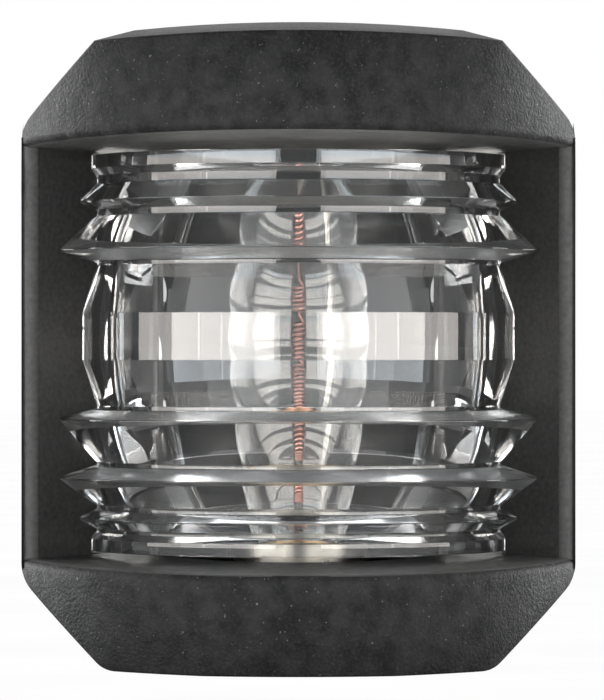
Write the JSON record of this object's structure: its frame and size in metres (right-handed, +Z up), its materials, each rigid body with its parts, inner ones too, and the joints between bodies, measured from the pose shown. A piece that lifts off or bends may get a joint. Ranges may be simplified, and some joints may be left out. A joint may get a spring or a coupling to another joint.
{
  "type": "navigation light",
  "caption": "Hooded surface-mounted navigation light with a clear fresnel drum lens, tilting cover, bayonet lamp and sprung contact holder.",
  "frame": {"origin": "centre of the mounting face at the back of the foam pad", "axes": "+Z up, the light shines along -Y, +X to the right seen from the front, +Y into the wall"},
  "size_m": [0.07, 0.0545, 0.0854],
  "materials": {
    "housing_plastic": "black moulded plastic with a fine spark-eroded grain",
    "lens_clear": "clear moulded lens, polished",
    "seal_rubber": "black rubber",
    "clamp_plastic": "black moulded plastic",
    "stainless": "stainless steel",
    "pad_foam": "closed-cell foam",
    "base_plastic": "black glass-filled plastic",
    "brass": "brass",
    "shield_plastic": "black moulded plastic, smooth",
    "phenolic": "brown laminate",
    "nickel": "nickel-plated brass",
    "lamp_glass": "clear blown glass",
    "stem_copper": "copper-coloured stem",
    "filament": "coiled tungsten wire",
    "black_glass": "black vitrite"
  },
  "bodies": {
    "base": {"wall_pad": "pad_foam", "base_plate": "base_plastic", "hinge_pin": "stainless", "cable_grommet": "seal_rubber", "thread_insert": "brass", "back_shield": "shield_plastic", "terminal_block": "phenolic", "live_strip": "brass", "terminal_screw": "brass", "holder_bracket": "nickel", "bracket_screws": "stainless", "holder_shell": "nickel", "holder_insulator": "phenolic", "contact_spring": "stainless"},
    "cover": {"housing": "housing_plastic", "lens": "lens_clear", "lens_seals": "seal_rubber", "lens_clamps": "clamp_plastic", "clamp_screws": "stainless"},
    "plunger": {"contact_plunger": "brass"},
    "lamp": {"lamp_globe": "lamp_glass", "lamp_stem": "stem_copper", "lamp_leads": "nickel", "lamp_filament": "filament", "lamp_cap": "brass", "lamp_pins": "brass", "lamp_insulator": "black_glass", "lamp_button": "nickel"},
    "washer": {"screw_washer": "seal_rubber"},
    "screw": {"cover_screw": "stainless"}
  },
  "joints": [
    {"name": "cover_tilt", "type": "hinge", "parent": "base", "child": "cover", "pos_m": [0, -0.0065, 0.03685], "axis": [-1, 0, 0], "range_deg": [0, 55]},
    {"name": "contact_press", "type": "slide", "parent": "base", "child": "plunger", "axis": [0, 0, -1], "range_m": [0, 0.0015], "stiffness_N_per_m": 2000, "springref_m": -0.002, "deforming": ["contact_spring"]},
    {"name": "lamp_twist", "type": "hinge", "parent": "base", "child": "lamp", "pos_m": [0, -0.017, 0], "axis": [0, 0, 1], "range_deg": [0, 40]},
    {"name": "screw_travel", "type": "slide", "parent": "base", "child": "washer", "axis": [0, 0, -1], "range_m": [0, 0.0035]},
    {"name": "screw_turn", "type": "hinge", "parent": "washer", "child": "screw", "pos_m": [0, -0.009, -0.0395], "axis": [0, 0, -1], "range_deg": [0, 1800]}
  ],
  "couplings": [
    {"joint": "screw_turn", "follows": "screw_travel", "rad_per_m": 8975.9}
  ]
}
